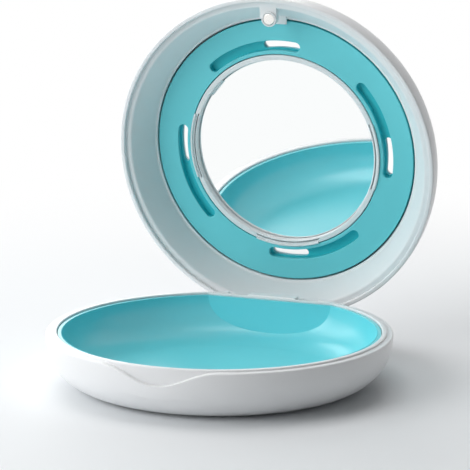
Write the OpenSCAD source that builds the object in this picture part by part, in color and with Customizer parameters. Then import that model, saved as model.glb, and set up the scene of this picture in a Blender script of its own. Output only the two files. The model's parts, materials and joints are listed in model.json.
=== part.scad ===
// Round retainer case: hinged shell with a lift-in tray, a lid mirror and a rotary vent ring.
// Millimetres, +Z up, origin at the centre of the rest face, thumb notch towards -Y, hinge towards +Y.

/* [Case] */
// Outside radius of the base at the parting line
case_r = 44; // [42:0.5:48]
// Height of the base, rest face to parting line
base_h = 13.4; // [13:0.1:16]
// Radius of the flat rest face
base_flat_r = 30.5; // [28:0.5:32]
// Roundness of the base's side: 2 is an ellipse, more is squarer
base_power = 2.2; // [2.1:0.05:2.6]
// Thickness of the base's floor
base_floor_t = 1.3; // [1:0.1:2]
// Height of the lid above its rim
lid_h = 13.9; // [13.3:0.1:17]
// How far the lid's skirt stands inside the base's outline
lid_inset = 0.2; // [0:0.05:0.4]
// Radius of the lid's flat crown
lid_flat_r = 32; // [31:0.5:34]
// Roundness of the lid's side
lid_power = 2.4; // [2.3:0.05:2.8]
// Wall of the lid's crown
lid_crown_t = 1.3; // [1.1:0.1:1.6]
// Opening of the lid in this pose, from shut
open_angle = 82.4; // [0:0.1:89]

/* [Rim] */
// Width of the ledge that the lid's skirt meets
ledge_w = 1.6; // [1.4:0.05:1.9]
// Width of the raised lip
lip_w = 1.3; // [1:0.05:1.6]
// Height of the raised lip
lip_h = 0.5; // [0.4:0.05:0.8]
// Radial play of the lid's skirt round the lip
lip_play = 0.2; // [0.15:0.05:0.3]
// Gap between the rims when shut
parting_gap = 0.2; // [0.15:0.05:0.35]
// Half width of the thumb notch
notch_half_w = 15; // [11:0.5:17]
// Depth of the thumb notch
notch_depth = 4; // [2.5:0.1:5]
// Place of the thumb notch's middle, from the centre line
notch_x = 0.2; // [-2:0.1:2]

/* [Tray] */
// Wall of the tray
tray_t = 1; // [0.8:0.05:1.2]
// Play between the tray's rim and the lip
tray_play = 0.2; // [0.15:0.05:0.35]
// Height of the tray's rim above the parting line
tray_rim_h = 0; // [0:0.05:0.3]
// How much smaller the tray's flat floor is than the rest face
tray_flat_inset = 2.5; // [1.5:0.1:4.5]
// Roundness of the tray's bowl
tray_power = 2.3; // [2.2:0.05:2.5]

/* [Hinge] */
// Distance of the hinge axis inside the base's outline
hinge_inset = 3.25; // [3.1:0.05:3.6]
// Depth of the hinge axis below the parting line
hinge_drop = 3.7; // [3.3:0.05:4.2]
// Radius of the knuckles
knuckle_r = 2.3; // [2:0.05:2.5]
// Radius of the hinge pin
pin_r = 0.9; // [0.7:0.05:1.1]
// Radial clearance of the pin in the lid's knuckles
pin_play = 0.05; // [0.03:0.01:0.08]
// Half length of the base's middle knuckle
middle_half = 6.8; // [6:0.1:8.5]
// Length of each of the lid's knuckles
knuckle_len = 5.2; // [4:0.1:6]
// Gap between knuckles, end to end and to the pocket
knuckle_gap = 0.3; // [0.2:0.05:0.5]
// Thickness of the wall between the tray and the hinge pocket
hinge_wall_t = 0.9; // [0.7:0.05:1.2]
// Height of the middle knuckle's block above the parting line
block_h = 0.8; // [0.5:0.05:1.2]
// Half width of the relief in the ledge at the hinge
relief_half_w = 22; // [18:0.5:24]
// Depth of that relief
relief_depth = 1.2; // [0.8:0.1:1.6]

/* [Vent ring] */
// Width of the ring, inner edge to outer edge
ring_w = 9.35; // [8.5:0.05:10.5]
// Thickness of the ring
ring_t = 3.1; // [2.4:0.1:3.3]
// Gap round the ring, inside and out
ring_gap = 0.35; // [0.25:0.05:0.5]
// Gap under the ring and under its catches
ring_float = 0.2; // [0.15:0.05:0.3]
// Number of vents
vent_count = 4; // [2:1:5]
// Distance of the vents' middle line from the ring's inner edge
vent_inset = 2.4; // [2:0.05:3.5]
// Width of a vent
vent_w = 2.65; // [2:0.05:3]
// Length of a vent, as an angle
vent_arc = 22; // [14:1:26]
// Length of the blind finger recess beside it, as an angle
recess_arc = 32; // [28:1:36]
// Floor left under the finger recess
recess_floor = 1.4; // [0.8:0.1:1.8]
// Step between the finger slot's side and the window in its floor
window_step = 0.1; // [0.05:0.05:0.3]
// How much wider the shell's vents are than the liner's, on each side
vent_flare = 0.8; // [0.4:0.1:1.2]

/* [Lid liner] */
// Thickness of the liner's plate under the ring
seat_t = 1.2; // [1:0.1:1.6]
// Wall of the liner's sloping side
liner_t = 1.2; // [1:0.05:1.5]
// Gap between the lip and the liner's rim when shut
rim_gap = 0.5; // [0.3:0.05:0.8]
// Width of the liner's rim that stands over the lip
liner_rim_w = 1.4; // [1.1:0.05:1.6]
// Wall between the ring's pocket and the lid shell, at the seat
pocket_wall = 1.25; // [1.1:0.05:1.6]
// Width of the flat band next to the ring
band_w = 0.55; // [0.4:0.05:0.8]
// Gap between the liner and the lid shell
liner_play = 0.1; // [0.05:0.05:0.2]
// Angle covered by each catch on the mirror well
catch_arc = 39; // [20:1:50]
// Reach of each catch over the ring
catch_reach = 0.2; // [0.1:0.05:0.5]
// Thickness of the catches and of the front hook
catch_t = 0.45; // [0.35:0.05:0.8]
// Half width of the front hook
hook_half_w = 2.35; // [1.8:0.05:3.5]
// Reach of the front hook over the ring
hook_reach = 1; // [0.6:0.05:1.6]

/* [Mirror] */
// Thickness of the mirror's glass
mirror_t = 1.3; // [1:0.1:1.8]
// Play round the mirror
mirror_play = 0.12; // [0.08:0.01:0.2]
// Wall of the mirror well
well_t = 1.23; // [1:0.01:1.5]
// How far the well's rim stands below the ring's face
well_drop = 0.5; // [0.3:0.05:0.8]
// Width of the spring slit behind each catch
slit_w = 0.35; // [0.3:0.01:0.4]
// Width of the clip that holds the mirror's edge
clip_w = 5.4; // [4:0.1:7]
// Place of the mirror clip, from +X
clip_angle = -139.6; // [-170:0.1:-110]
// Reach of the clip over the mirror
clip_reach = 0.55; // [0.3:0.05:0.8]
// Thickness of the clip
clip_t = 0.6; // [0.4:0.05:0.8]
// Distance of the adhesive pad's edge inside the mirror's
pad_inset = 1.85; // [1:0.05:6]
// Thickness of the adhesive pad
pad_t = 0.3; // [0.2:0.05:0.5]

/* [Magnets] */
// Radius of a magnet
magnet_r = 1.5; // [1.2:0.05:1.8]
// Thickness of a magnet
magnet_t = 1.5; // [1:0.1:2]
// Play round a magnet in its pocket
magnet_play = 0.1; // [0.05:0.05:0.2]
// Wall of the posts round the magnets
post_t = 0.45; // [0.4:0.05:0.8]
// Distance of the magnets inside the lip
magnet_inset = 3.1; // [2.8:0.05:3.6]
// Height of the lid's magnet cup above the lid's rim
lid_post_gap = 0.6; // [0.5:0.05:0.8]
// Floor of the lid's magnet cup
cup_floor = 0.7; // [0.5:0.05:1]
// How far the cup's straight side stands out from its round
cup_side = 0.5; // [0:0.05:0.8]
// Depth of the base's post below the parting line
base_post_gap = 2.25; // [1.9:0.05:2.6]

/* [Hidden] */
$fn = 96;
over = 1;
curve_steps = 14;
white = "#f1f3f4";
teal = "#4fb0bc";

// Rim radii, from the outline inwards
lip_r = case_r - ledge_w;
lip_in_r = lip_r - lip_w;
tray_r = lip_in_r - tray_play;
tray_flat_r = base_flat_r - tray_flat_inset;
lid_r = case_r - lid_inset;
skirt_in_r = lip_r + lip_play;

// Heights from the parting line
base_floor_z = base_floor_t - base_h;
tray_floor_z = base_floor_z + tray_t;
base_post_z = -base_post_gap;

// Depths into the lid, from the lid's rim
crown_d = lid_h - lid_crown_t;
seat_d = crown_d - seat_t;
ring_back_d = seat_d - ring_float;
ring_face_d = ring_back_d - ring_t;
catch_d = ring_face_d - ring_float;
well_top_d = ring_face_d + well_drop;
mirror_back_d = seat_d - pad_t;
mirror_face_d = mirror_back_d - mirror_t;
liner_rim_d = lip_h + rim_gap;

// Radius of a bowl's side at some depth
function bowl_r(flat_r, rim_r, depth, power, at) =
    flat_r + (rim_r - flat_r) * pow(1 - pow(at / depth, power), 1 / power);

// Radii of liner, ring, mirror well and mirror, from the lid's side inwards
liner_rim_out_r = skirt_in_r - liner_play;
liner_rim_in_r = liner_rim_out_r - liner_rim_w;
pocket_r = bowl_r(lid_flat_r, liner_rim_out_r, crown_d, lid_power, seat_d) - pocket_wall;
band_r = pocket_r + band_w;
ring_r = pocket_r - ring_gap;
ring_in_r = ring_r - ring_w;
vent_r = ring_in_r + vent_inset;
vent_step = 360 / vent_count;
well_out_r = ring_in_r - ring_gap;
well_r = well_out_r - well_t;
mirror_r = well_r - mirror_play;
pad_r = mirror_r - pad_inset;

// Hinge places
hinge_y = case_r - hinge_inset;
hinge_z = -hinge_drop;
pocket_half = middle_half + knuckle_gap + knuckle_len + knuckle_gap;
pocket_y = hinge_y - knuckle_r - knuckle_gap;
pocket_z = hinge_z - knuckle_r - knuckle_gap;
tray_back_y = pocket_y - hinge_wall_t - tray_play;
arm_h = liner_rim_d + liner_t + over;

// Magnet posts, just inside the lip
post_r = magnet_r + magnet_play + post_t;
magnet_place = lip_in_r - magnet_inset;

// Side curve of a bowl: from the rim (flat_r + side, 0) to the flat (flat_r, depth)
function side_curve(flat_r, side, depth, power) = [
    for (i = [0 : curve_steps])
        let (t = 90 * i / curve_steps)
        [flat_r + side * pow(cos(t), 2 / power), depth * pow(sin(t), 2 / power)]
];

// Half outline of a bowl that also rises straight above its rim
function bowl_half(flat_r, rim_r, depth, power, rise) = concat(
    [[0, rise], [rim_r, rise]],
    side_curve(flat_r, rim_r - flat_r, depth, power),
    [[0, depth]]
);

module bowl(flat_r, rim_r, depth, power, rise) {
    rotate_extrude()
        polygon(bowl_half(flat_r, rim_r, depth, power, rise));
}

// Places base pieces: z is measured from the parting line
module base_frame() {
    translate([0, 0, base_h])
        children();
}

// Places lid pieces: z is the depth into the lid, and the lid stands open
module lid_frame() {
    base_frame()
        translate([0, hinge_y, hinge_z])
            rotate([-open_angle, 0, 0])
                translate([0, -hinge_y, parting_gap - hinge_z])
                    children();
}

// Cylinder along X at the hinge axis, in the frame of the parting line
module hinge_bar(r, from_x, to_x) {
    translate([from_x, hinge_y, hinge_z])
        rotate([0, 90, 0])
            cylinder(r = r, h = to_x - from_x);
}

// Arc-shaped slot with round ends, about the middle of its length
module arc_slot(mid_r, w, arc, h) {
    rotate([0, 0, -arc / 2])
        rotate_extrude(angle = arc)
            translate([mid_r - w / 2, 0])
                square([w, h]);
    for (end = [-arc / 2, arc / 2])
        rotate([0, 0, end])
            translate([mid_r, 0, 0])
                cylinder(d = w, h = h, $fn = 32);
}

// Angle that a slot's round end takes up
function end_arc(mid_r, w) = w / 2 / mid_r * 180 / PI;

module vent_cuts(from_d, to_d, flare) {
    for (i = [0 : vent_count - 1])
        rotate([0, 0, i * vent_step])
            translate([0, 0, from_d])
                arc_slot(vent_r, vent_w + 2 * flare, vent_arc - 2 * end_arc(vent_r, vent_w), to_d - from_d);
}

// One layer of the vent ring, cut by a slot at each vent
module ring_layer(from_d, to_d, slot_w, slot_arc, slot_mid) {
    difference() {
        rotate_extrude()
            translate([ring_in_r, from_d])
                square([ring_r - ring_in_r, to_d - from_d]);
        for (i = [0 : vent_count - 1])
            rotate([0, 0, i * vent_step + slot_mid])
                translate([0, 0, from_d - over])
                    arc_slot(vent_r, slot_w, slot_arc - 2 * end_arc(vent_r, slot_w), to_d - from_d + 2 * over);
    }
}

// Wave in the ledge at the front, cut down to the lip's outer wall
module thumb_notch() {
    wave = [
        for (i = [-12 : 12])
            let (x = notch_half_w * i / 12)
            [notch_x + x, -notch_depth / 2 * (1 + cos(180 * x / notch_half_w))]
    ];
    ends = [[notch_x + notch_half_w, over], [notch_x - notch_half_w, over]];
    difference() {
        rotate([90, 0, 0])
            linear_extrude(case_r + over)
                polygon(concat(wave, ends));
        translate([0, 0, -case_r])
            cylinder(r = lip_r, h = 2 * case_r);
    }
}

module raised_lip() {
    rotate_extrude()
        translate([lip_in_r, -over])
            square([lip_w, lip_h + over]);
}

// Straight wall that closes the lip across the hinge
module hinge_wall() {
    intersection() {
        translate([-case_r, pocket_y - hinge_wall_t, -over])
            cube([2 * case_r, hinge_wall_t, lip_h + over]);
        cylinder(r = lip_r, h = 4 * over, center = true);
    }
}

// Clear room for the knuckles and the lid's arms, open to the back
module hinge_pocket() {
    translate([-pocket_half, pocket_y, pocket_z])
        cube([2 * pocket_half, case_r, base_h]);
}

module hinge_relief() {
    difference() {
        translate([-relief_half_w, 0, -relief_depth])
            cube([2 * relief_half_w, case_r + over, relief_depth + over]);
        translate([0, 0, -relief_depth - over])
            cylinder(r = lip_r, h = relief_depth + 3 * over);
    }
}

// Middle knuckle with its web to the hinge wall
module middle_knuckle() {
    hinge_bar(knuckle_r, -middle_half, middle_half);
    translate([-middle_half, pocket_y - hinge_wall_t / 2, pocket_z - over / 2])
        cube([2 * middle_half, hinge_y - pocket_y, -pocket_z + block_h + over / 2]);
}

module magnet_post(from_z, to_z) {
    translate([0, -magnet_place, from_z])
        cylinder(r = post_r, h = to_z - from_z, $fn = 48);
}

// Post for the base's magnet, rooted half way into the wall
module base_post() {
    intersection() {
        magnet_post(-base_h, base_post_z);
        bowl(base_flat_r, lip_in_r + lip_w / 2, base_floor_z - base_floor_t / 2, base_power, 0);
    }
}

module magnet_pocket(from_z) {
    translate([0, -magnet_place, from_z])
        cylinder(r = magnet_r + magnet_play, h = magnet_t + over, $fn = 48);
}

module magnet(from_z) {
    translate([0, -magnet_place, from_z])
        cylinder(r = magnet_r, h = magnet_t, $fn = 48);
}

module base_shell() {
    color(white)
        base_frame()
            difference() {
                union() {
                    difference() {
                        union() {
                            bowl(base_flat_r, case_r, -base_h, base_power, 0);
                            raised_lip();
                        }
                        // inside of the base, with a straight wall at the hinge
                        difference() {
                            bowl(base_flat_r, lip_in_r, base_floor_z, base_power, 2 * over);
                            translate([-case_r, pocket_y - hinge_wall_t, -base_h])
                                cube([2 * case_r, case_r, base_h + lip_h]);
                        }
                        hinge_pocket();
                        hinge_relief();
                        thumb_notch();
                    }
                    hinge_wall();
                    middle_knuckle();
                    base_post();
                }
                magnet_pocket(base_post_z - magnet_t);
                hinge_bar(pin_r, -middle_half - over, middle_half + over);
            }
}

module tray_liner() {
    post_cover_z = base_post_z + tray_play + tray_t;
    color(teal)
        base_frame()
            difference() {
                intersection() {
                    bowl(tray_flat_r, tray_r, base_floor_z, tray_power, tray_rim_h);
                    translate([-case_r, -case_r, -base_h])
                        cube([2 * case_r, case_r + tray_back_y, 2 * base_h]);
                }
                difference() {
                    bowl(tray_flat_r, tray_r - tray_t, tray_floor_z, tray_power, tray_rim_h + over);
                    // flat at the hinge and a closed bulge over the magnet post
                    translate([-case_r, tray_back_y - tray_t, -base_h])
                        cube([2 * case_r, case_r, 2 * base_h]);
                    translate([0, -magnet_place, -base_h])
                        cylinder(r = post_r + tray_play + tray_t, h = base_h + post_cover_z, $fn = 48);
                }
                translate([0, -magnet_place, -base_h])
                    cylinder(r = post_r + tray_play, h = base_h + post_cover_z - tray_t, $fn = 48);
            }
}

module base_magnet() {
    color("silver")
        base_frame()
            magnet(base_post_z - magnet_t);
}

module hinge_pin() {
    reach = middle_half + knuckle_gap + knuckle_len;
    color("silver")
        base_frame()
            hinge_bar(pin_r, -reach, reach);
}

// One of the lid's knuckles with the arm that carries it, on the +X side
module lid_knuckle() {
    from_x = middle_half + knuckle_gap;
    translate([0, 0, -parting_gap])
        hinge_bar(knuckle_r, from_x, from_x + knuckle_len);
    translate([from_x, hinge_y - pin_r, hinge_z - parting_gap])
        cube([knuckle_len, pin_r + knuckle_r, arm_h - hinge_z + parting_gap]);
}

module lid_inside() {
    bowl(lid_flat_r, skirt_in_r, crown_d, lid_power, -over);
}

module lid_shell() {
    bore_half = pocket_half + over;
    color(white)
        lid_frame()
            difference() {
                union() {
                    difference() {
                        bowl(lid_flat_r, lid_r, lid_h, lid_power, 0);
                        lid_inside();
                        lid_block_notch();
                    }
                    for (side = [0, 1])
                        mirror([side, 0, 0])
                            lid_knuckle();
                }
                vent_cuts(crown_d - over, lid_h + over, vent_flare);
                translate([0, 0, -parting_gap])
                    hinge_bar(pin_r + pin_play, -bore_half, bore_half);
            }
}

// Room in the lid's back wall for the middle knuckle's block
module lid_block_notch() {
    half = middle_half + knuckle_gap;
    translate([-half, 0, -over])
        cube([2 * half, case_r + over, block_h + knuckle_gap + over]);
}

module liner_section() {
    lean = [band_r - liner_rim_in_r, ring_face_d - liner_rim_d];
    under = liner_t * norm(lean) / lean[1];
    intersection() {
        polygon([
            [liner_rim_out_r, liner_rim_d],
            [liner_rim_in_r, liner_rim_d],
            [band_r, ring_face_d],
            [pocket_r, ring_face_d],
            [pocket_r, seat_d],
            [well_out_r, seat_d],
            [well_out_r, well_top_d],
            [well_r, well_top_d],
            [well_r, seat_d],
            [0, seat_d],
            [0, crown_d],
            [pocket_r + liner_t, crown_d],
            [band_r + under, ring_face_d],
            [liner_rim_out_r, liner_rim_d + liner_t]
        ]);
        polygon(bowl_half(lid_flat_r, skirt_in_r - liner_play, crown_d, lid_power, 0));
    }
}

// Catch that stands out over the ring's inner edge, with the spring slit behind it
module ring_catch() {
    root_d = ring_face_d + ring_t / 2;
    bead_r = well_out_r + ring_gap / 3;
    rotate([0, 0, -catch_arc / 2])
        rotate_extrude(angle = catch_arc)
            polygon([
                [well_out_r - slit_w, root_d],
                [well_out_r - slit_w, catch_d - catch_t],
                [ring_in_r, catch_d - catch_t],
                [ring_in_r + catch_reach, catch_d],
                [bead_r, catch_d],
                [bead_r, root_d]
            ]);
}

module spring_slit() {
    slit_arc = catch_arc + 2;
    rotate([0, 0, -slit_arc / 2])
        rotate_extrude(angle = slit_arc)
            translate([well_r + slit_w, well_top_d - over])
                square([slit_w, over + ring_t / 2]);
}

module front_hook() {
    hook_y = -pocket_r + ring_gap + hook_reach;
    translate([-hook_half_w, -band_r - band_w, catch_d - catch_t])
        cube([2 * hook_half_w, band_r + band_w + hook_y, catch_t]);
}

// Cup for the lid's magnet on a web from the liner's rim, straight on one side
module magnet_cup() {
    cup_end = lid_post_gap + magnet_t + cup_floor;
    magnet_post(lid_post_gap, cup_end);
    translate([-post_r - cup_side, -liner_rim_in_r - liner_rim_w / 2, liner_rim_d])
        cube([2 * post_r + cup_side, liner_rim_in_r + liner_rim_w / 2 - magnet_place, cup_end - liner_rim_d]);
}

module mirror_clip() {
    rotate([0, 0, clip_angle])
        translate([well_r - clip_reach - mirror_play, -clip_w / 2, mirror_face_d - clip_t - mirror_play])
            cube([clip_reach + mirror_play + well_t / 2, clip_w, clip_t]);
}

module lid_liner() {
    catch_places = [0, 90, 180];
    color(white)
        lid_frame()
            difference() {
                union() {
                    difference() {
                        rotate_extrude()
                            liner_section();
                        for (a = catch_places)
                            rotate([0, 0, a])
                                spring_slit();
                    }
                    for (a = catch_places)
                        rotate([0, 0, a])
                            ring_catch();
                    front_hook();
                    mirror_clip();
                    magnet_cup();
                }
                magnet_pocket(lid_post_gap - over);
                vent_cuts(seat_d - over, crown_d + over, 0);
                // room for the hinge arms
                translate([-pocket_half, hinge_y - pin_r - knuckle_gap, 0])
                    cube([2 * pocket_half, case_r, arm_h + knuckle_gap]);
            }
}

// The face layer has slots over vent and finger recess, the floor layer only windows at the vents
module vent_ring() {
    floor_d = ring_back_d - recess_floor;
    window_w = vent_w - 2 * window_step;
    window_arc = vent_arc - 2 * end_arc(vent_r, window_step);
    color(teal)
        lid_frame() {
            ring_layer(ring_face_d, floor_d, vent_w, vent_arc + recess_arc, -recess_arc / 2);
            ring_layer(floor_d, ring_back_d, window_w, window_arc, 0);
        }
}

module mirror_glass() {
    color("lightblue")
        lid_frame()
            translate([0, 0, mirror_face_d])
                cylinder(r = mirror_r, h = mirror_t);
}

module mirror_pad() {
    color("white")
        lid_frame()
            translate([0, 0, mirror_back_d])
                cylinder(r = pad_r, h = pad_t);
}

module lid_magnet() {
    color("silver")
        lid_frame()
            magnet(lid_post_gap);
}

base_shell();
tray_liner();
base_magnet();
hinge_pin();
lid_shell();
lid_liner();
vent_ring();
mirror_glass();
mirror_pad();
lid_magnet();
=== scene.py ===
import json
import math

import bpy
from mathutils import Matrix, Quaternion, Vector


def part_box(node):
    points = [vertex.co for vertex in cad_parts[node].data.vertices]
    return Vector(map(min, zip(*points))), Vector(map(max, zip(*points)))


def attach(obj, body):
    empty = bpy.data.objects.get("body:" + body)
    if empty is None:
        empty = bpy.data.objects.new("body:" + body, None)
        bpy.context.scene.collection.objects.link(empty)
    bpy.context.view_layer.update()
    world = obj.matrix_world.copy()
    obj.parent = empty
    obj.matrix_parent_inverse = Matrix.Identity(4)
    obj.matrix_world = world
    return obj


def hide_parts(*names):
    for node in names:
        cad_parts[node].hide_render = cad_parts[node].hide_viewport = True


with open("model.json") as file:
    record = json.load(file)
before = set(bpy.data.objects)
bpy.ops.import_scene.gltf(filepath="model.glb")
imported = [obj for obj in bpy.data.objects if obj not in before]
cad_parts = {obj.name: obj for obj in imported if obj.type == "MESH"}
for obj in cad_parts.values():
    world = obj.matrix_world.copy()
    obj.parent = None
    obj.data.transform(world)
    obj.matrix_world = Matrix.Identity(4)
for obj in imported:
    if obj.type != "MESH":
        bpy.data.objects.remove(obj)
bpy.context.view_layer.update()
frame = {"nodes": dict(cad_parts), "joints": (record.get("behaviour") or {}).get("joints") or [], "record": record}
mm = 0.001
joints = {joint["name"]: joint for joint in frame["joints"]}
print("frame loaded:", sorted(frame["nodes"]))

# camera at the photograph's angle, a long lens
camera = {
    "azimuth": 20.91, "elevation": 11.75, "roll": 0.13,  # degrees
    "distance": 729.8, "target": (4.13, 0.0, 38.42),  # mm
    "lens": 222.8, "sensor": 36.0,  # mm
    "nearest": 10, "farthest": 10000,  # mm
}


def makeCamera(size):
    azimuth = math.radians(size["azimuth"])
    elevation = math.radians(size["elevation"])
    back = Vector((math.sin(azimuth) * math.cos(elevation),
                   -math.cos(azimuth) * math.cos(elevation), math.sin(elevation)))
    data = bpy.data.cameras.new("camera")
    data.lens = size["lens"]
    data.sensor_width = size["sensor"]
    data.clip_start = size["nearest"] * mm
    data.clip_end = size["farthest"] * mm
    eye = bpy.data.objects.new("camera", data)
    eye.location = (Vector(size["target"]) + back * size["distance"]) * mm
    turn = Quaternion((0, 0, 1), math.radians(size["roll"]))
    eye.rotation_mode = "QUATERNION"
    eye.rotation_quaternion = (-back).to_track_quat("-Z", "Y") @ turn
    bpy.context.scene.collection.objects.link(eye)
    bpy.context.scene.camera = eye


makeCamera(camera)
print("camera set")


# colours are written as sRGB hex and used as linear values
def colour(hexText):
    parts = [int(hexText[i:i + 2], 16) / 255 for i in (1, 3, 5)]
    linear = [part / 12.92 if part <= 0.04045 else ((part + 0.055) / 1.055) ** 2.4 for part in parts]
    return (*linear, 1.0)


# adds one node, sets its values and makes its links
def addNode(tree, kind, values=None, links=None, **settings):
    node = tree.nodes.new(kind)
    for name, value in settings.items():
        setattr(node, name, value)
    for socket, value in (values or {}).items():
        node.inputs[socket].default_value = value
    for socket, source in (links or {}).items():
        tree.links.new(source, node.inputs[socket])
    return node


def newMaterial(name):
    mat = bpy.data.materials.new(name)
    mat.use_nodes = True
    tree = mat.node_tree
    shader = tree.nodes["Principled BSDF"]
    place = addNode(tree, "ShaderNodeTexCoord").outputs["Object"]
    return mat, tree, shader, place


# how many times per metre a pattern of this size in mm repeats
def perMetre(sizeMm):
    return 1 / (sizeMm * mm)


polypropylene = {
    "ior": 1.49, "scatter": 1.2, "peelDepth": 0.04, "grainDepth": 0.02,  # mm but for the ior
    "driftLow": 0.3, "driftHigh": 0.7,  # most of the noise lies between these
}


# Polypropylene moulded in a steel tool: one colour right through, a soft sheen, a faint orange peel
# from the melt and a drift in gloss where it cooled. The tool's grain is drawn coarse enough to show.
def mouldedPolypropylene(name, finish):
    mat, tree, shader, place = newMaterial(name)
    drift = addNode(tree, "ShaderNodeTexNoise", {"Scale": perMetre(finish["driftMm"]), "Detail": 3.0},
                    {"Vector": place})
    peel = addNode(tree, "ShaderNodeTexNoise", {"Scale": perMetre(finish["peelMm"]), "Detail": 2.0},
                   {"Vector": place})
    grain = addNode(tree, "ShaderNodeTexNoise", {"Scale": perMetre(finish["grainMm"]), "Detail": 1.0},
                    {"Vector": place})
    tint = addNode(tree, "ShaderNodeMix", {"A": colour(finish["dark"]), "B": colour(finish["light"])},
                   {"Factor": drift.outputs["Fac"]}, data_type="RGBA")
    tree.links.new(tint.outputs["Result"], shader.inputs["Base Color"])
    sheen = addNode(tree, "ShaderNodeMapRange",
                    {"From Min": polypropylene["driftLow"], "From Max": polypropylene["driftHigh"],
                     "To Min": finish["rough"] - finish["roughSpread"],
                     "To Max": finish["rough"] + finish["roughSpread"]},
                    {"Value": drift.outputs["Fac"]})
    tree.links.new(sheen.outputs["Result"], shader.inputs["Roughness"])
    soft = addNode(tree, "ShaderNodeBump",
                   {"Strength": finish["peel"], "Distance": polypropylene["peelDepth"] * mm},
                   {"Height": peel.outputs["Fac"]})
    fine = addNode(tree, "ShaderNodeBump",
                   {"Strength": finish["grain"], "Distance": polypropylene["grainDepth"] * mm},
                   {"Height": grain.outputs["Fac"], "Normal": soft.outputs["Normal"]})
    tree.links.new(fine.outputs["Normal"], shader.inputs["Normal"])
    shader.inputs["IOR"].default_value = polypropylene["ior"]
    shader.inputs["Specular IOR Level"].default_value = finish["gloss"]
    shader.inputs["Subsurface Weight"].default_value = finish["depth"]
    shader.inputs["Subsurface Radius"].default_value = (1.0, 1.0, 1.0)
    shader.inputs["Subsurface Scale"].default_value = polypropylene["scatter"] * mm
    return mat


whiteShellFinish = {
    "dark": "#EDEFF1", "light": "#F4F5F6", "driftMm": 30, "peelMm": 1.6, "grainMm": 0.25,
    "rough": 0.34, "roughSpread": 0.04, "peel": 0.12, "grain": 0.05, "depth": 0.12, "gloss": 0.5,
}
whiteLinerFinish = {
    "dark": "#E6EAEC", "light": "#EEF1F2", "driftMm": 26, "peelMm": 1.2, "grainMm": 0.3,
    "rough": 0.46, "roughSpread": 0.04, "peel": 0.10, "grain": 0.12, "depth": 0.12, "gloss": 0.4,
}
tealTrayFinish = {
    "dark": "#68D8E3", "light": "#74DFE9", "driftMm": 24, "peelMm": 1.4, "grainMm": 0.3,
    "rough": 0.30, "roughSpread": 0.02, "peel": 0.12, "grain": 0.08, "depth": 0.0, "gloss": 1.0,
}
tealRingFinish = {
    "dark": "#6ED3DC", "light": "#78DAE2", "driftMm": 24, "peelMm": 1.2, "grainMm": 0.3,
    "rough": 0.44, "roughSpread": 0.05, "peel": 0.10, "grain": 0.14, "depth": 0.0, "gloss": 0.2,
}
mirrorFinish = {
    "colour": "#FAFCFC", "rubMm": 9, "rubFrom": 0.45, "rubTo": 0.8, "clean": 0.012, "rubbed": 0.05,
}


# Back-silvered float glass: a clean mirror, faintly cool, with the odd rub mark on its face.
def silveredGlass(name, finish):
    mat, tree, shader, place = newMaterial(name)
    rubs = addNode(tree, "ShaderNodeTexNoise", {"Scale": perMetre(finish["rubMm"]), "Detail": 4.0},
                   {"Vector": place})
    haze = addNode(tree, "ShaderNodeMapRange",
                   {"From Min": finish["rubFrom"], "From Max": finish["rubTo"],
                    "To Min": finish["clean"], "To Max": finish["rubbed"]},
                   {"Value": rubs.outputs["Fac"]})
    tree.links.new(haze.outputs["Result"], shader.inputs["Roughness"])
    shader.inputs["Base Color"].default_value = colour(finish["colour"])
    shader.inputs["Metallic"].default_value = 1.0
    return mat


# colour of a metal, with marks that dull it and give it relief
def markMetal(tree, shader, marks, finish):
    haze = addNode(tree, "ShaderNodeMapRange", {"To Min": finish["bright"], "To Max": finish["dull"]},
                   {"Value": marks})
    tree.links.new(haze.outputs["Result"], shader.inputs["Roughness"])
    bump = addNode(tree, "ShaderNodeBump", {"Strength": finish["relief"], "Distance": finish["depth"] * mm},
                   {"Height": marks})
    tree.links.new(bump.outputs["Normal"], shader.inputs["Normal"])
    shader.inputs["Base Color"].default_value = colour(finish["colour"])
    shader.inputs["Metallic"].default_value = 1.0


nickelFinish = {
    "colour": "#F3F2EF", "pitMm": 0.35, "bright": 0.16, "dull": 0.32, "relief": 0.15, "depth": 0.01,
}


# Nickel-plated magnet, tumbled in the bath: bright, slightly warm, with pits drawn large enough to show.
def nickelPlate(name, finish):
    mat, tree, shader, place = newMaterial(name)
    pits = addNode(tree, "ShaderNodeTexNoise", {"Scale": perMetre(finish["pitMm"]), "Detail": 3.0},
                   {"Vector": place})
    markMetal(tree, shader, pits.outputs["Fac"], finish)
    return mat


wireFinish = {
    "colour": "#C9CBCC", "lineMm": 0.12, "stretch": 0.02, "bright": 0.18, "dull": 0.36,
    "relief": 0.2, "depth": 0.01,
}


# Stainless wire, cold drawn: fine lines along its length from the die.
def drawnStainless(name, finish):
    mat, tree, shader, place = newMaterial(name)
    along = addNode(tree, "ShaderNodeMapping", {"Scale": (finish["stretch"], 1.0, 1.0)}, {"Vector": place})
    lines = addNode(tree, "ShaderNodeTexNoise", {"Scale": perMetre(finish["lineMm"]), "Detail": 2.0},
                    {"Vector": along.outputs["Vector"]})
    markMetal(tree, shader, lines.outputs["Fac"], finish)
    return mat


tapeFinish = {
    "dark": "#D6D6D2", "light": "#ECECE8", "cellMm": 0.3, "relief": 0.4, "depth": 0.05, "rough": 0.85,
}


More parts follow.
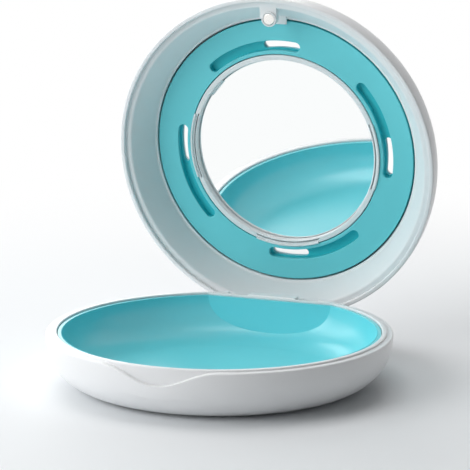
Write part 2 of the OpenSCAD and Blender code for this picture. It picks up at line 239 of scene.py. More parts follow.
# Acrylic foam tape, die cut: white, dull, with small open cells on its cut edge.
def foamTape(name, finish):
    mat, tree, shader, place = newMaterial(name)
    cells = addNode(tree, "ShaderNodeTexVoronoi", {"Scale": perMetre(finish["cellMm"])}, {"Vector": place})
    tint = addNode(tree, "ShaderNodeMix", {"A": colour(finish["dark"]), "B": colour(finish["light"])},
                   {"Factor": cells.outputs["Distance"]}, data_type="RGBA")
    tree.links.new(tint.outputs["Result"], shader.inputs["Base Color"])
    bump = addNode(tree, "ShaderNodeBump", {"Strength": finish["relief"], "Distance": finish["depth"] * mm},
                   {"Height": cells.outputs["Distance"]})
    tree.links.new(bump.outputs["Normal"], shader.inputs["Normal"])
    shader.inputs["Roughness"].default_value = finish["rough"]
    return mat


materials = {
    "white_shell": mouldedPolypropylene("white polypropylene, polished tool", whiteShellFinish),
    "white_liner": mouldedPolypropylene("white polypropylene, satin tool", whiteLinerFinish),
    "teal_tray": mouldedPolypropylene("teal polypropylene, satin tool", tealTrayFinish),
    "teal_ring": mouldedPolypropylene("teal polypropylene, fine spark finish, painted recess shade", tealRingFinish),
    "mirror": silveredGlass("back-silvered float glass", mirrorFinish),
    "magnet": nickelPlate("nickel plate, tumbled", nickelFinish),
    "pin_steel": drawnStainless("stainless wire, drawn", wireFinish),
    "pad": foamTape("acrylic foam tape, die cut", tapeFinish),
}
nodeSlots = {part["node"]: part["material_slot"] for part in frame["record"]["subparts"]}
for node, slot in nodeSlots.items():
    frame["nodes"][node].data.materials.clear()
    frame["nodes"][node].data.materials.append(materials[slot])
print("materials made:", len(materials))

# modelling helpers, all sizes in mm
touch = 0.01  # points nearer than this count as one place
mergeGap = 0.0005  # doubled points lie within this
past = 1.0  # a cutter passes the face that it opens by this much
reach = 60  # a cutter goes this far where nothing is in its way


def clearSelection():
    if bpy.context.object and bpy.context.object.mode != "OBJECT":
        bpy.ops.object.mode_set(mode="OBJECT")
    bpy.ops.object.select_all(action="DESELECT")


def useOnly(piece):
    clearSelection()
    piece.select_set(True)
    bpy.context.view_layer.objects.active = piece


# opens a piece in edit mode with all of it selected
def editWhole(piece):
    useOnly(piece)
    bpy.ops.object.mode_set(mode="EDIT")
    bpy.ops.mesh.select_all(action="SELECT")


# makes a piece ready for a selection of its points or edges by their place
def startPick(piece, kind):
    useOnly(piece)
    bpy.ops.object.mode_set(mode="EDIT")
    bpy.ops.mesh.select_mode(type=kind)
    bpy.ops.mesh.select_all(action="DESELECT")
    bpy.ops.object.mode_set(mode="OBJECT")


# selects vertices by a test on their place in mm and stays in edit mode
def pickVertices(piece, test):
    startPick(piece, "VERT")
    for vertex in piece.data.vertices:
        vertex.select = test(vertex.co / mm)
    bpy.ops.object.mode_set(mode="EDIT")


# selects edges by a test on the places of their ends in mm and stays in edit mode
def pickEdges(piece, test):
    startPick(piece, "EDGE")
    points = [vertex.co / mm for vertex in piece.data.vertices]
    for edge in piece.data.edges:
        edge.select = test(points[edge.vertices[0]], points[edge.vertices[1]])
    bpy.ops.object.mode_set(mode="EDIT")


# draws a chain of edges by extruding a point, and fills it if asked
def drawChain(name, points, fill=False):
    clearSelection()
    bpy.ops.mesh.primitive_plane_add(size=mm)
    piece = bpy.context.object
    piece.name = name
    bpy.ops.object.mode_set(mode="EDIT")
    bpy.ops.mesh.select_mode(type="VERT")
    bpy.ops.mesh.merge(type="CENTER")
    last = Vector((0, 0, 0))
    for i, point in enumerate(points):
        move = (Vector(point) - last) * mm
        if i == 0:
            bpy.ops.transform.translate(value=move)
        else:
            bpy.ops.mesh.extrude_vertices_move(TRANSFORM_OT_translate={"value": move})
        last = Vector(point)
    if fill:
        bpy.ops.mesh.select_all(action="SELECT")
        bpy.ops.mesh.edge_face_add()
    bpy.ops.object.mode_set(mode="OBJECT")
    return piece


# rounds corners of a drawn section: (radius from the axis, height, rounding)
def roundCorners(piece, corners, steps=4):
    for r, z, rounding in corners:
        corner = Vector((r, 0, z))
        pickVertices(piece, lambda co: (co - corner).length < touch)
        bpy.ops.mesh.bevel(offset=rounding * mm, segments=steps, affect="VERTICES")
        bpy.ops.object.mode_set(mode="OBJECT")


def tidyMesh(piece):
    editWhole(piece)
    bpy.ops.mesh.remove_doubles(threshold=mergeGap * mm)
    bpy.ops.mesh.dissolve_degenerate(threshold=mergeGap * mm)
    bpy.ops.mesh.normals_make_consistent(inside=False)
    bpy.ops.object.mode_set(mode="OBJECT")


# turns a section of (radius, height) points round the Z axis into a closed solid
def turnSection(name, section, corners=(), steps=256, roundSteps=4):
    piece = drawChain(name, [(r, 0, z) for r, z in section])
    roundCorners(piece, corners, roundSteps)
    editWhole(piece)
    bpy.ops.mesh.spin(steps=steps, angle=2 * math.pi, center=(0, 0, 0), axis=(0, 0, 1))
    tidyMesh(piece)
    return piece


# part of a turned section, between two angles in degrees
def turnArc(name, section, fromAngle, toAngle, steps=48):
    piece = drawChain(name, [(r, 0, z) for r, z in section], fill=True)
    editWhole(piece)
    bpy.ops.mesh.spin(steps=steps, angle=math.radians(toAngle - fromAngle), center=(0, 0, 0), axis=(0, 0, 1))
    tidyMesh(piece)
    # spin turns clockwise
    piece.rotation_euler = (0, 0, math.radians(toAngle))
    bpy.ops.object.transform_apply(location=True, rotation=True, scale=True)
    return piece


# disc between two heights with rounded edges
def turnDisc(name, radius, low, high, edge, steps=256):
    return turnSection(name, [(0, low), (radius, low), (radius, high), (0, high)],
                       [(radius, low, edge), (radius, high, edge)], steps)


# side of a bowl, from its rim to its flat floor
def sideCurve(flatR, rimR, depth, power, steps=28):
    turns = [math.pi / 2 * i / steps for i in range(steps + 1)]
    return [(flatR + (rimR - flatR) * max(math.cos(turn), 0) ** (2 / power),
             depth * math.sin(turn) ** (2 / power)) for turn in turns]


def makeBox(name, low, high, rounding=0.0, steps=3):
    clearSelection()
    low, high = Vector(low), Vector(high)
    bpy.ops.mesh.primitive_cube_add(size=1, location=(low + high) / 2 * mm)
    piece = bpy.context.object
    piece.name = name
    piece.scale = (high - low) * mm
    bpy.ops.object.transform_apply(location=True, rotation=True, scale=True)
    if rounding:
        editWhole(piece)
        bpy.ops.mesh.bevel(offset=rounding * mm, segments=steps, affect="EDGES")
        bpy.ops.object.mode_set(mode="OBJECT")
    return piece


# cylinder from one point to another, with its end edges rounded
def makeRod(name, start, end, radius, rounding=0.0, sides=64, steps=3):
    clearSelection()
    start, end = Vector(start), Vector(end)
    along = end - start
    bpy.ops.mesh.primitive_cylinder_add(vertices=sides, radius=radius * mm, depth=along.length * mm,
                                        location=(start + end) / 2 * mm,
                                        rotation=along.to_track_quat("Z", "Y").to_euler())
    piece = bpy.context.object
    piece.name = name
    bpy.ops.object.transform_apply(location=True, rotation=True, scale=True)
    if rounding:
        direction = along.normalized()
        pickEdges(piece, lambda a, b: abs((a - b).dot(direction)) < touch)
        bpy.ops.mesh.bevel(offset=rounding * mm, segments=steps, affect="EDGES")
        bpy.ops.object.mode_set(mode="OBJECT")
    return piece


# outline of an arc-shaped slot with round ends, angles in degrees
def slotOutline(midR, width, fromAngle, toAngle, steps=24, endSteps=10):
    half = width / 2
    endAngle = math.degrees(half / midR)
    first, last = math.radians(fromAngle + endAngle), math.radians(toAngle - endAngle)
    outline = []
    for start, end, side in ((first, last, half), (last, first, -half)):
        for i in range(steps + 1):
            turn = start + (end - start) * i / steps
            outline.append(((midR + side) * math.cos(turn), (midR + side) * math.sin(turn)))
        # round end
        for i in range(1, endSteps):
            turn = end + math.pi * i / endSteps
            outline.append((midR * math.cos(end) + side * math.cos(turn),
                            midR * math.sin(end) + side * math.sin(turn)))
    return outline


def makePrism(name, outline, low, high):
    piece = drawChain(name, [(x, y, low) for x, y in outline], fill=True)
    editWhole(piece)
    bpy.ops.mesh.extrude_region_move(TRANSFORM_OT_translate={"value": (0, 0, (high - low) * mm)})
    tidyMesh(piece)
    return piece


# prism that grows from one outline to another with as many points
def makeFlare(name, outline, wider, low, high):
    piece = makePrism(name, outline, low, high)
    for vertex in piece.data.vertices:
        spot = vertex.co / mm
        if spot.z > (low + high) / 2:
            near = min(range(len(outline)), key=lambda i: math.dist(outline[i], spot.xy))
            vertex.co = Vector((*wider[near], high)) * mm
    return piece


# joins a tool to a piece, or takes it away, and removes the tool
def carve(piece, tool, how="DIFFERENCE"):
    useOnly(piece)
    change = piece.modifiers.new("carve", "BOOLEAN")
    change.operation = how
    change.solver = "EXACT"
    change.object = tool
    bpy.ops.object.modifier_apply(modifier=change.name)
    bpy.data.objects.remove(tool, do_unlink=True)


# takes away what lies behind a plane across the case
def cutBack(piece, y):
    carve(piece, makeBox("back", (-reach, y, -reach), (reach, 2 * reach, reach)))


# puts a finished mesh in its place, smooths it, gives it its finish and its body
def finishPiece(piece, place, node, body, smoothAngle=32):
    tidyMesh(piece)
    piece.matrix_world = place
    bpy.ops.object.transform_apply(location=True, rotation=True, scale=True)
    bpy.ops.object.shade_smooth_by_angle(angle=math.radians(smoothAngle))
    weight = piece.modifiers.new("flat faces keep their shade", "WEIGHTED_NORMAL")
    weight.keep_sharp = True
    bpy.ops.object.modifier_apply(modifier=weight.name)
    piece.data.materials.clear()
    piece.data.materials.append(materials[nodeSlots[node]])
    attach(piece, body)
    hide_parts(node)
    print(piece.name, "faces:", len(piece.data.polygons))


# the case's main sizes, from the frame and in mm
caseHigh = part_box("base_shell")[1]
hingeJoint = joints["lid_hinge"]
case = {
    "rimR": round(caseHigh.x / mm, 2),
    "partingZ": 13.4, "partingGap": 0.2,
    "openZ": 3,  # top of the shapes that hollow the base and the tray
    "lipH": 0.5, "lipR": 42.4, "lipInR": 41.1,
    "hingeY": hingeJoint["pos_m"][1] / mm,
    "openAngle": -hingeJoint["range_deg"][0],
}
case["hingeZ"] = hingeJoint["pos_m"][2] / mm - case["partingZ"]
basePlace = Matrix.Translation((0, 0, case["partingZ"] * mm))
hingePoint = Vector((0, case["hingeY"], case["partingZ"] + case["hingeZ"])) * mm
lidPlace = (Matrix.Translation(hingePoint) @ Matrix.Rotation(math.radians(-case["openAngle"]), 4, "X")
            @ Matrix.Translation(-hingePoint)
            @ Matrix.Translation((0, 0, (case["partingZ"] + case["partingGap"]) * mm)))

hingeSizes = {
    "knuckleR": 2.3, "middleHalf": 6.8, "knuckleLen": 5.2, "gap": 0.3, "round": 0.25,
    "tightBoreR": 0.9, "looseBoreR": 0.95, "wallT": 0.9,
    "blockH": 0.8, "blockFoot": 0.5, "armFront": 0.9, "armTop": 3.2,
    "blockInset": 0.1,  # keeps the block's ends out of the knuckle's planes
    "reliefHalf": 22, "reliefDepth": 1.2, "reliefSides": 256,
}
hingeSizes["pocketHalf"] = hingeSizes["middleHalf"] + hingeSizes["knuckleLen"] + 2 * hingeSizes["gap"]
hingeSizes["pocketY"] = case["hingeY"] - hingeSizes["knuckleR"] - hingeSizes["gap"]
hingeSizes["pocketZ"] = case["hingeZ"] - hingeSizes["knuckleR"] - hingeSizes["gap"]
magnetSizes = {
    "r": 1.5, "t": 1.5, "edge": 0.15, "sides": 64, "play": 0.1, "place": 38.0,
    "postT": 0.45, "postFoot": 1.5, "basePostZ": -2.25,
    "cupTop": 0.6, "cupFloor": 0.7, "cupSide": 0.5, "cupRound": 0.12,
    "webRoot": 0.7, "webInset": 0.02, "webShort": 0.05,  # the last two keep the web's faces off the cup's
}
magnetSizes["postR"] = magnetSizes["r"] + magnetSizes["play"] + magnetSizes["postT"]


# cylinder along the hinge's axis
def hingeRod(name, fromX, toX, z, radius, rounding=0.0):
    return makeRod(name, (fromX, case["hingeY"], z), (toX, case["hingeY"], z), radius, rounding)


# cylinder on the line through both magnets
def magnetRod(name, fromZ, toZ, radius, rounding=0.0):
    y = -magnetSizes["place"]
    return makeRod(name, (0, y, fromZ), (0, y, toZ), radius, rounding)


baseSizes = {
    "flatR": 30.5, "power": 2.2, "floorT": 1.3, "depth": 13.4, "insideGap": 0.02,
    "coreZ": -1,  # top of the middle before it is hollowed
    "notchHalf": 15.0, "notchDepth": 4.0, "notchX": 0.2, "notchTop": 0.2, "notchFade": 11.0,
    "ledgeRound": 0.45, "footRound": 0.12, "lipRound": 0.3,
    "wallFoot": -2, "wallEnd": 0.3, "wallRound": 0.2,
    "wallShift": 0.01, "wallDrop": 0.02,  # keep the wall's faces off those beside it
}


# lowers the ledge in a wave at the thumb notch and presses the wall below it together
def waveLedge(piece, size):
    lipR, rimR = case["lipR"], case["rimR"]

    def wallR(z):
        share = 1 - min(-z / size["depth"], 1) ** size["power"]
        return size["flatR"] + (rimR - size["flatR"]) * share ** (1 / size["power"])

    for vertex in piece.data.vertices:
        x, y, z = vertex.co / mm
        r = math.hypot(x, y)
        side = x - size["notchX"]
        if y > 0 or abs(side) > size["notchHalf"] or r < lipR - touch:
            continue
        if z > size["notchTop"] or z < -size["notchFade"]:
            continue
        wave = size["notchDepth"] / 2 * (1 + math.cos(math.pi * side / size["notchHalf"]))
        fade = (1 + min(z, 0) / size["notchFade"]) ** 2
        newZ = z - wave * fade
        outward = min(max((r - lipR) / (rimR - lipR), 0), 1)
        shift = outward * (wallR(min(newZ, 0)) - wallR(min(z, 0)))
        vertex.co = Vector((x * (r + shift) / r, y * (r + shift) / r, newZ)) * mm


def makeBaseShell(size, hinge, magnet):
    rimR, lipR, lipInR, lipH = case["rimR"], case["lipR"], case["lipInR"], case["lipH"]
    side = sideCurve(size["flatR"], rimR, -size["depth"], size["power"])
    lip = [(lipR, 0), (lipR, lipH), (lipInR, lipH), (lipInR, size["coreZ"]), (0, size["coreZ"])]
    piece = turnSection("baseShell", [(0, -size["depth"])] + side[::-1] + lip, [
        (rimR, 0, size["ledgeRound"]), (lipR, 0, size["footRound"]),
        (lipR, lipH, size["lipRound"]), (lipInR, lipH, size["lipRound"])])
    waveLedge(piece, size)
    floorZ = size["floorT"] - size["depth"]
    insideR = lipInR - size["insideGap"]
    bowl = sideCurve(size["flatR"], insideR, floorZ, size["power"])
    inside = turnSection("inside", [(0, case["openZ"]), (insideR, case["openZ"])] + bowl + [(0, floorZ)])
    wallY = hinge["pocketY"] - hinge["wallT"]
    cutBack(inside, wallY)
    carve(piece, inside)
    # ledge lowered beside the hinge, pocket for the knuckles
    relief = makeBox("relief", (-hinge["reliefHalf"], reach / 2, -hinge["reliefDepth"]),
                     (hinge["reliefHalf"], reach, reach))
    carve(relief, makeRod("lipKeep", (0, 0, -2 * reach), (0, 0, 2 * reach), lipR + touch,
                          sides=hinge["reliefSides"]))
    carve(piece, relief)
    half = hinge["pocketHalf"]
    carve(piece, makeBox("pocket", (-half, hinge["pocketY"], hinge["pocketZ"]), (half, reach, reach)))
    # wall across the hinge
    wallHalf = math.sqrt((lipR - size["wallEnd"]) ** 2 - hinge["pocketY"] ** 2)
    shift, wallTop = size["wallShift"], lipH - size["wallDrop"]
    wall = makeBox("wall", (-wallHalf, wallY - shift, size["wallFoot"]),
                   (wallHalf, hinge["pocketY"] - shift, wallTop), size["wallRound"])
    carve(piece, wall, "UNION")
    # middle knuckle and its block
    middle, axisZ = hinge["middleHalf"], case["hingeZ"]
    blockHalf = middle - hinge["blockInset"]
    block = makeBox("block", (-blockHalf, wallY + hinge["wallT"] / 2, hinge["pocketZ"] - hinge["blockFoot"]),
                    (blockHalf, case["hingeY"], hinge["blockH"]), hinge["round"])
    carve(block, hingeRod("knuckle", -middle, middle, axisZ, hinge["knuckleR"], hinge["round"]), "UNION")
    carve(piece, block, "UNION")
    carve(piece, hingeRod("bore", -middle - past, middle + past, axisZ, hinge["tightBoreR"]))
    # post of the hidden magnet, which ends inside the wall
    top = magnet["basePostZ"]
    post = magnetRod("post", floorZ + magnet["postFoot"], top, magnet["postR"])
    midFloorZ = floorZ - size["floorT"] / 2
    midWall = sideCurve(size["flatR"], (lipR + lipInR) / 2, midFloorZ, size["power"])
    carve(post, turnSection("midWall", [(0, 0)] + midWall + [(0, midFloorZ)]), "INTERSECT")
    carve(post, magnetRod("pocket", top - magnet["t"], top + past, magnet["r"] + magnet["play"]))
    carve(piece, post, "UNION")
    finishPiece(piece, basePlace, "base_shell", "base")


makeBaseShell(baseSizes, hingeSizes, magnetSizes)

traySizes = {
    "rimR": 40.9, "wallT": 1.0, "rimH": 0.0, "flatR": 28.0, "power": 2.3, "bottomZ": -12.1, "play": 0.2,
    "rimRound": 0.3, "rimSteps": 8, "bowlSteps": 48, "turnSteps": 384, "smoothAngle": 14,
    "bulgeFoot": -20, "bulgeRound": 0.3,
}


def makeTrayLiner(size, hinge, magnet):
    rimR, rimH, wallT = size["rimR"], size["rimH"], size["wallT"]
    floorZ, insideR = size["bottomZ"] + wallT, rimR - wallT
    side = sideCurve(size["flatR"], rimR, size["bottomZ"], size["power"])
    piece = turnSection("trayLiner", [(0, size["bottomZ"])] + side[::-1] + [(rimR, rimH), (0, rimH)],
                        [(rimR, rimH, size["rimRound"])], roundSteps=size["rimSteps"])
    # the inside flares at the rim by its rounding
    flare = []
    for i in range(size["rimSteps"], -1, -1):
        turn = math.pi / 2 * i / size["rimSteps"]
        flare.append((insideR + size["rimRound"] * (1 - math.cos(turn)),
                      rimH - size["rimRound"] * (1 - math.sin(turn))))
    bowl = sideCurve(size["flatR"], insideR, floorZ, size["power"], size["bowlSteps"])
    opening = [(0, case["openZ"]), (flare[0][0], case["openZ"])]
    inside = turnSection("inside", opening + flare + bowl + [(0, floorZ)], steps=size["turnSteps"])
    backY = hinge["pocketY"] - hinge["wallT"] - size["play"]
    cutBack(piece, backY)
    cutBack(inside, backY - wallT)
    # closed bulge over the magnet post
    coverZ = magnet["basePostZ"] + size["play"] + wallT
    bulgeR = magnet["postR"] + size["play"] + wallT
    carve(inside, magnetRod("bulge", size["bulgeFoot"], coverZ, bulgeR, size["bulgeRound"]))
    carve(piece, inside)
    carve(piece, magnetRod("room", size["bulgeFoot"], coverZ - wallT, bulgeR - wallT))
    finishPiece(piece, basePlace, "tray_liner", "base", smoothAngle=size["smoothAngle"])


makeTrayLiner(traySizes, hingeSizes, magnetSizes)

ventSizes = {"count": 4, "r": 28.95, "w": 2.65, "arc": 22, "recessArc": 32, "step": 0.4, "flare": 0.8}
ventSizes["turns"] = [360 / ventSizes["count"] * i for i in range(ventSizes["count"])]
lidSizes = {
    "rimR": 43.8, "skirtInR": 42.6, "h": 13.9, "flatR": 32.0, "power": 2.4, "crownT": 1.3,
    "rimRound": 0.4, "rimInRound": 0.25, "ventSoft": 0.3, "ventLap": 0.1,
}


def makeLidShell(size, hinge, vent):
    crownD = size["h"] - size["crownT"]
    outer = sideCurve(size["flatR"], size["rimR"], size["h"], size["power"])
    inner = sideCurve(size["flatR"], size["skirtInR"], crownD, size["power"])
    piece = turnSection("lidShell", [(0, size["h"])] + outer[::-1] + inner + [(0, crownD)],
                        [(size["rimR"], 0, size["rimRound"]), (size["skirtInR"], 0, size["rimInRound"])])
    armStart, armEnd = hinge["middleHalf"] + hinge["gap"], hinge["pocketHalf"] - hinge["gap"]
    carve(piece, makeBox("blockRoom", (-armStart, reach / 2, -reach),
                         (armStart, reach, hinge["blockH"] + hinge["gap"])))
    axisZ = case["hingeZ"] - case["partingGap"]
    for side in (-1, 1):
        near, far = side * armStart, side * armEnd
        arm = makeBox("arm", (min(near, far), case["hingeY"] - hinge["armFront"], axisZ),
                      (max(near, far), case["hingeY"] + hinge["knuckleR"], hinge["armTop"]), hinge["round"])
        carve(arm, hingeRod("knuckle", near, far, axisZ, hinge["knuckleR"], hinge["round"]), "UNION")
        carve(piece, arm, "UNION")
    boreEnd = hinge["pocketHalf"] + past
    carve(piece, hingeRod("bore", -boreEnd, boreEnd, axisZ, hinge["looseBoreR"]))
    half = vent["arc"] / 2
    width = vent["w"] + 2 * vent["flare"]
    soft, lap = size["ventSoft"], size["ventLap"]
    for turn in vent["turns"]:
        outlines = []
        for grow in (0, -lap, 2 * soft):
            more = math.degrees((vent["flare"] + grow) / vent["r"])
            outlines.append(slotOutline(vent["r"], width + 2 * grow, turn - half - more, turn + half + more))
        carve(piece, makePrism("vent", outlines[0], crownD - past, size["h"] + past))
        # soft edge on the outside
        carve(piece, makeFlare("soft", outlines[1], outlines[2], size["h"] - soft - lap, size["h"] + soft))
    finishPiece(piece, lidPlace, "lid_shell", "lid")


makeLidShell(lidSizes, hingeSizes, ventSizes)

linerSizes = {
    "rimD": 1.0, "rimOutR": 42.58, "rimInR": 41.1, "rimDraft": 0.05, "rimRound": 0.45,
    "bandR": 36.82, "bandRound": 0.5, "pocketR": 36.27, "pocketRound": 0.15, "ringFaceD": 8.1,
    "seatD": 11.4, "crownD": 12.6, "crownDraft": 0.6, "wallT": 1.2, "play": 0.12,
    "wellR": 24.97, "wellOutR": 26.4, "wellTopD": 8.05, "wellRound": 0.3, "wellOutRound": 0.25,
    "catchTurns": (0, 90, 180), "catchArc": 39, "catchD": 7.9, "catchT": 0.3, "catchReach": 0.1,
    "catchRoot": 1.5, "catchSoft": 0.15, "catchInset": 0.1, "catchDraft": 0.05, "catchLap": 0.05,
    "ringInR": 26.55, "slitW": 0.35, "slitTopD": 7.5, "slitDepth": 1.5, "slitPast": 1,
    "hookHalf": 2.35, "hookReach": 1.0, "hookT": 0.45, "hookRoot": 0.55, "hookLap": 0.35, "hookRound": 0.2,
    "clipW": 5.4, "clipAngle": -139.6, "clipReach": 0.55, "clipT": 0.6, "clipRoot": 0.6, "clipRound": 0.15,
    "mirrorFaceD": 9.8,
}


# spring catches on the rim of the mirror well, each with a slit behind it
def addCatches(piece, size):
    half = size["catchArc"] / 2
    slitR, slitOutR = size["wellR"] + size["slitW"], size["wellR"] + 2 * size["slitW"]
    slitEnd = size["wellTopD"] + size["slitDepth"]
    slit = [(slitR, size["slitTopD"]), (slitOutR, size["slitTopD"]), (slitOutR, slitEnd), (slitR, slitEnd)]
    backR, lapR = size["wellOutR"] - size["slitW"], size["wellOutR"] + size["catchLap"]
    noseR, noseD = size["ringInR"] + size["catchReach"], size["catchD"]
    top, root, soft = noseD - size["catchT"], size["ringFaceD"] + size["catchRoot"], size["catchSoft"]
    bead = [(backR, root), (backR, top + soft), (backR + soft, top),
            (size["ringInR"] - size["catchInset"], top), (noseR - size["catchDraft"], noseD - soft),
            (noseR, noseD), (lapR, noseD), (lapR, root)]
    for turn in size["catchTurns"]:
        carve(piece, turnArc("slit", slit, turn - half - size["slitPast"], turn + half + size["slitPast"]))
        carve(piece, turnArc("catch", bead, turn - half, turn + half), "UNION")


# hook at the front, over the ring's outer edge, and a clip over the mirror's edge
def addHookAndClip(piece, size):
    hookY, rootY = -size["pocketR"] + size["hookLap"] + size["hookReach"], -size["bandR"] - size["hookRoot"]
    hook = makeBox("hook", (-size["hookHalf"], rootY, size["catchD"] - size["hookT"]),
                   (size["hookHalf"], hookY, size["catchD"]), size["hookRound"])
    carve(piece, hook, "UNION")
    clipD, clipHalf = size["mirrorFaceD"] - size["play"], size["clipW"] / 2
    clipR = size["wellR"] - size["clipReach"] - size["play"]
    clip = makeBox("clip", (clipR, -clipHalf, clipD - size["clipT"]),
                   (size["wellR"] + size["clipRoot"], clipHalf, clipD), size["clipRound"])
    clip.rotation_euler = (0, 0, math.radians(size["clipAngle"]))
    useOnly(clip)
    bpy.ops.object.transform_apply(location=True, rotation=True, scale=True)
    carve(piece, clip, "UNION")


# cup of the magnet, straight on one side, on a web from the rim
def addMagnetCup(piece, size, magnet):
    top, floor = magnet["cupTop"], magnet["cupTop"] + magnet["t"]
    end = floor + magnet["cupFloor"]
    cup = magnetRod("cup", end, top, magnet["postR"], magnet["cupRound"])
    webLow = (-magnet["postR"] - magnet["cupSide"], -size["rimInR"] - magnet["webRoot"], size["rimD"])
    webHigh = (magnet["postR"] - magnet["webInset"], -magnet["place"], end - magnet["webShort"])
    web = makeBox("web", webLow, webHigh, magnet["cupRound"])
    carve(cup, web, "UNION")
    carve(piece, cup, "UNION")
    carve(piece, magnetRod("pocket", top - past, floor, magnet["r"] + magnet["play"]))


def makeLidLiner(size, hinge, vent, magnet):
    face, seat, crown, rimD = size["ringFaceD"], size["seatD"], size["crownD"], size["rimD"]
    wellR, wellOutR, wellTop = size["wellR"], size["wellOutR"], size["wellTopD"]
    pocketR, bandR, rimInR, rimOutR = size["pocketR"], size["bandR"], size["rimInR"], size["rimOutR"]
    under = size["wallT"] * math.hypot(rimInR - bandR, face - rimD) / (face - rimD)
    section = [
        (0, seat), (wellR, seat), (wellR, wellTop), (wellOutR, wellTop), (wellOutR, seat),
        (pocketR, seat), (pocketR, face), (bandR, face), (rimInR, rimD), (rimOutR, rimD),
        (rimOutR - size["rimDraft"], rimD + size["wallT"]), (bandR + under, face),
        (pocketR + size["wallT"] - size["crownDraft"], crown), (0, crown)]
    piece = turnSection("lidLiner", section, [
        (wellR, wellTop, size["wellRound"]), (wellOutR, wellTop, size["wellOutRound"]),
        (pocketR, face, size["pocketRound"]), (bandR, face, size["bandRound"]),
        (rimInR, rimD, size["rimRound"])])
    addCatches(piece, size)
    addHookAndClip(piece, size)
    addMagnetCup(piece, size, magnet)
    for turn in vent["turns"]:
        outline = slotOutline(vent["r"], vent["w"], turn - vent["arc"] / 2, turn + vent["arc"] / 2)
        carve(piece, makePrism("vent", outline, seat - past, crown + past))
    armY = case["hingeY"] - hinge["armFront"] - hinge["gap"]
    carve(piece, makeBox("armRoom", (-hinge["pocketHalf"], armY, -reach),
                         (hinge["pocketHalf"], reach, hinge["armTop"] + hinge["gap"])))
    finishPiece(piece, lidPlace, "lid_liner", "lid")


makeLidLiner(linerSizes, hingeSizes, ventSizes, magnetSizes)

ringSizes = {
    "r": 35.8, "inR": 26.62, "faceD": linerSizes["ringFaceD"], "floorD": 9.8, "backD": 11.2, "edge": 0.18,
    "floorLap": 0.3, "floorInset": 0.03, "slotSteps": 48,
    # painted shade: the darker teal painted on the ring below its face, and the depths over which it fades in
    "recessShadeColour": "#3CC8D2", "shadeFrom": 0.05, "shadeTo": 0.4,  # mm below the face
}


# The ring's face is spark eroded. Its smooth recesses and sides below the face are painted a deeper, darker teal
# as painted shade, standing in for the shade that falls in them.
def paintRecessShade(mat, size):
    tree = mat.node_tree
    shader = tree.nodes["Principled BSDF"]
    pale = shader.inputs["Base Color"].links[0].from_socket
    place = addNode(tree, "ShaderNodeTexCoord").outputs["Object"]
    inward = lidPlace.to_3x3() @ Vector((0, 0, 1))
    face = (lidPlace @ Vector((0, 0, size["faceD"] * mm))).dot(inward)
    depth = addNode(tree, "ShaderNodeVectorMath", {1: inward}, {0: place}, operation="DOT_PRODUCT")
    amount = addNode(tree, "ShaderNodeMapRange",
                     {"From Min": face + size["shadeFrom"] * mm, "From Max": face + size["shadeTo"] * mm},
                     {"Value": depth.outputs["Value"]}, interpolation_type="SMOOTHSTEP")
    # painted shade: below the face the pale teal gives way to the darker painted recess colour
    both = addNode(tree, "ShaderNodeMix", {"B": colour(size["recessShadeColour"])},
                   {"Factor": amount.outputs["Result"], "A": pale}, data_type="RGBA")
    tree.links.new(both.outputs["Result"], shader.inputs["Base Color"])


paintRecessShade(materials["teal_ring"], ringSizes)


# flat plate from drawn outlines, with rounded edges
def makePlate(name, circles, outlines, low, high, edge, steps=64, edgeSteps=2):
    clearSelection()
    bpy.ops.curve.primitive_bezier_circle_add(radius=circles[0] * mm)
    plate = bpy.context.object
    plate.name = name
    bpy.ops.object.mode_set(mode="EDIT")
    for radius in circles[1:]:
        bpy.ops.curve.primitive_bezier_circle_add(radius=radius * mm)
    bpy.ops.object.mode_set(mode="OBJECT")
    for outline in outlines:
        line = plate.data.splines.new("POLY")
        line.points.add(len(outline) - 1)
        for point, (x, y) in zip(line.points, outline):
            point.co = (x * mm, y * mm, 0, 1)
        line.use_cyclic_u = True
    plate.data.resolution_u = steps
    plate.data.dimensions = "2D"
    plate.data.fill_mode = "BOTH"
    plate.data.extrude = ((high - low) / 2 - edge) * mm
    plate.data.bevel_depth = edge * mm
    plate.data.bevel_resolution = edgeSteps
    plate.data.offset = -edge * mm
    bpy.ops.object.convert(target="MESH")
    plate = bpy.context.object
    plate.location = (0, 0, (low + high) / 2 * mm)
    bpy.ops.object.transform_apply(location=True, rotation=True, scale=True)
    tidyMesh(plate)
    return plate


# a face with four long slots on a floor whose windows open one end of each
def makeVentRing(size, vent):
    half = vent["arc"] / 2
    step = math.degrees(vent["step"] / vent["r"])
    windowW = vent["w"] - 2 * vent["step"]
    slots, windows = [], []
    for turn in vent["turns"]:
        slots.append(slotOutline(vent["r"], vent["w"], turn - half - vent["recessArc"], turn + half,
                                 size["slotSteps"]))
        windows.append(slotOutline(vent["r"], windowW, turn - half + step, turn + half - step))
    piece = makePlate("ventRing", (size["r"], size["inR"]), slots,
                      size["faceD"], size["floorD"] + size["floorLap"], size["edge"])
    inset = size["floorInset"]
    floor = makePlate("floor", (size["r"] - inset, size["inR"] + inset), windows,
                      size["floorD"], size["backD"], size["edge"] / 2)
    carve(piece, floor, "UNION")
    finishPiece(piece, lidPlace, "vent_ring", "ring")


makeVentRing(ringSizes, ventSizes)

mirrorSizes = {"r": 24.85, "faceD": linerSizes["mirrorFaceD"], "t": 1.3, "edge": 0.25}


def makeMirror(size):
    piece = turnDisc("mirrorGlass", size["r"], size["faceD"], size["faceD"] + size["t"], size["edge"])
    finishPiece(piece, lidPlace, "mirror_glass", "lid")


makeMirror(mirrorSizes)


def makeLidMagnet(size):
    bottom = size["cupTop"] + size["t"]
    piece = turnDisc("lidMagnet", size["r"], size["cupTop"], bottom, size["edge"], size["sides"])
    finishPiece(piece, lidPlace @ Matrix.Translation((0, -size["place"] * mm, 0)), "lid_magnet", "lid")


makeLidMagnet(magnetSizes)
print("pieces made")

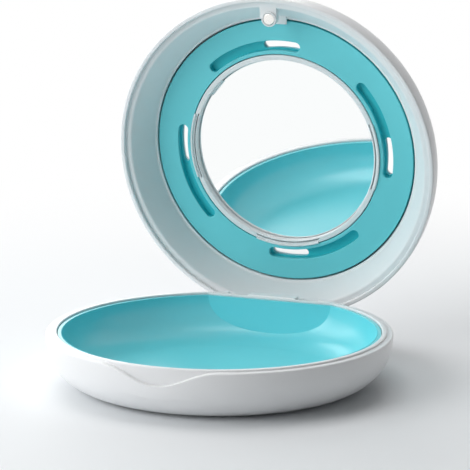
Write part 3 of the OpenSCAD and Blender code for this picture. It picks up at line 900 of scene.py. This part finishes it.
# soft studio light: two panels from the left, one overhead and an even white room
panels = {
    "keyPanel": {"place": (-596, -537, 409), "width": 650, "height": 650, "power": 5.4},
    "sidePanel": {"place": (-720, 480, 420), "width": 1500, "height": 780, "power": 6.0},
    "topPanel": {"place": (-120, 150, 900), "width": 700, "height": 700, "power": 3.8},
}
studio = {
    "aim": (0, 0, 30), "roomLight": 0.06, "floorSize": 6000, "floorColour": "#E8EBED", "floorRough": 0.6,
    "fade": (75, 280), "mirroredFade": (42, 68),
}


def makePanel(name, size, aim):
    data = bpy.data.lights.new(name, "AREA")
    data.shape = "RECTANGLE"
    data.size = size["width"] * mm
    data.size_y = size["height"] * mm
    data.energy = size["power"]
    lamp = bpy.data.objects.new(name, data)
    lamp.location = Vector(size["place"]) * mm
    facing = Vector(aim) * mm - lamp.location
    lamp.rotation_euler = facing.to_track_quat("-Z", "Y").to_euler()
    bpy.context.scene.collection.objects.link(lamp)


# 1 where a surface is seen, and 1 where it is mirrored or seen through glass
def raysSeen(tree):
    path = addNode(tree, "ShaderNodeLightPath")
    mirrored = addNode(tree, "ShaderNodeMath",
                       links={0: path.outputs["Is Glossy Ray"], 1: path.outputs["Is Transmission Ray"]},
                       operation="MAXIMUM")
    return path.outputs["Is Camera Ray"], mirrored.outputs[0]


def makeRoom(level):
    world = bpy.data.worlds.new("white room")
    world.use_nodes = True
    bpy.context.scene.world = world
    tree = world.node_tree
    tree.nodes.clear()
    seen, mirrored = raysSeen(tree)
    shown = addNode(tree, "ShaderNodeMath", links={0: seen, 1: mirrored}, operation="MAXIMUM")
    strength = addNode(tree, "ShaderNodeMapRange", {"To Min": level, "To Max": 1.0},
                       {"Value": shown.outputs[0]})
    glow = addNode(tree, "ShaderNodeBackground", {"Color": (1, 1, 1, 1)},
                   {"Strength": strength.outputs["Result"]})
    addNode(tree, "ShaderNodeOutputWorld", links={"Surface": glow.outputs[0]})


# pale floor that keeps the shadow near the case and fades to the white room further out
def makeFloor(size):
    clearSelection()
    bpy.ops.mesh.primitive_plane_add(size=size["floorSize"] * mm)
    floor = bpy.context.object
    floor.name = "floor"
    mat, tree, shader, place = newMaterial("pale floor, matt paint")
    shader.inputs["Base Color"].default_value = colour(size["floorColour"])
    shader.inputs["Roughness"].default_value = size["floorRough"]
    away = addNode(tree, "ShaderNodeVectorMath", links={0: place}, operation="LENGTH")
    parts = []
    for ends, rays in zip((size["fade"], size["mirroredFade"]), raysSeen(tree)):
        spread = addNode(tree, "ShaderNodeMapRange", {"From Min": ends[0] * mm, "From Max": ends[1] * mm},
                         {"Value": away.outputs["Value"]}, interpolation_type="SMOOTHSTEP")
        part = addNode(tree, "ShaderNodeMath", links={0: spread.outputs["Result"], 1: rays},
                       operation="MULTIPLY")
        parts.append(part.outputs[0])
    amount = addNode(tree, "ShaderNodeMath", links={0: parts[0], 1: parts[1]}, operation="MAXIMUM")
    glow = addNode(tree, "ShaderNodeEmission", {"Color": (1, 1, 1, 1), "Strength": 1.0})
    both = addNode(tree, "ShaderNodeMixShader",
                   links={0: amount.outputs[0], 1: shader.outputs[0], 2: glow.outputs[0]})
    tree.links.new(both.outputs[0], tree.nodes["Material Output"].inputs["Surface"])
    floor.data.materials.append(mat)


for name, size in panels.items():
    makePanel(name, size, studio["aim"])
makeRoom(studio["roomLight"])
makeFloor(studio)
bpy.context.scene.view_settings.view_transform = "Standard"
print("studio lit")
